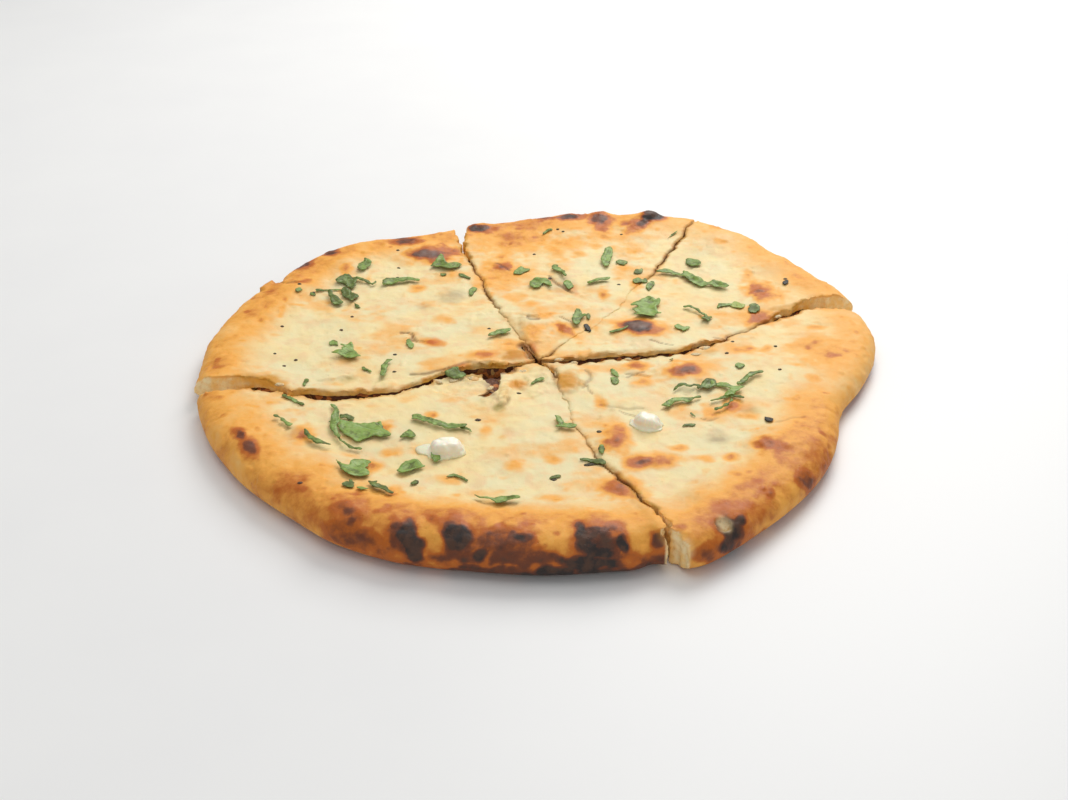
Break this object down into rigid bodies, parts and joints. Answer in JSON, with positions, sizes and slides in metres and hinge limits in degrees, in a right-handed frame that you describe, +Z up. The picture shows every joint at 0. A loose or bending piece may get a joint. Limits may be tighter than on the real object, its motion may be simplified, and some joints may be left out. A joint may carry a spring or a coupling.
{
  "type": "stuffed kulcha",
  "caption": "Round stuffed tandoor flatbread, cut into wedges that still lie together as the whole, with melting butter and coriander leaves on its charred crust.",
  "frame": {"origin": "middle of the bread's outline, on the flat underside it rests on", "axes": "+Z up through the thickness, +X to the right across the bread, +Y towards its back edge, so the front is at -Y"},
  "size_m": [0.269, 0.268, 0.0154],
  "materials": {
    "dough": "matte baked crust, cream with golden and charred spots",
    "filling": "moist crumbly filling, dark spiced brown",
    "butter": "soft satin, with a wet melting edge",
    "coriander": "satin leaf"
  },
  "bodies": {
    "root": {"dough_back_left": "dough", "dough_back_middle": "dough", "dough_back_right": "dough", "dough_front_right": "dough", "dough_front_left": "dough", "filling_back_left": "filling", "filling_back_middle": "filling", "filling_back_right": "filling", "filling_front_right": "filling", "filling_front_left": "filling", "butter_left": "butter", "butter_right": "butter", "coriander_01": "coriander", "coriander_02": "coriander", "coriander_03": "coriander", "coriander_04": "coriander", "coriander_05": "coriander", "coriander_06": "coriander", "coriander_07": "coriander", "coriander_08": "coriander", "coriander_09": "coriander", "coriander_10": "coriander", "coriander_11": "coriander", "coriander_12": "coriander", "coriander_13": "coriander", "coriander_14": "coriander", "coriander_15": "coriander", "coriander_16": "coriander", "coriander_17": "coriander", "coriander_18": "coriander", "coriander_19": "coriander", "coriander_20": "coriander", "coriander_21": "coriander", "coriander_22": "coriander", "coriander_23": "coriander", "coriander_24": "coriander", "coriander_25": "coriander", "coriander_26": "coriander", "coriander_27": "coriander", "coriander_28": "coriander", "coriander_29": "coriander", "coriander_30": "coriander", "coriander_31": "coriander", "coriander_32": "coriander", "coriander_33": "coriander", "coriander_34": "coriander"}
  },
  "joints": []
}
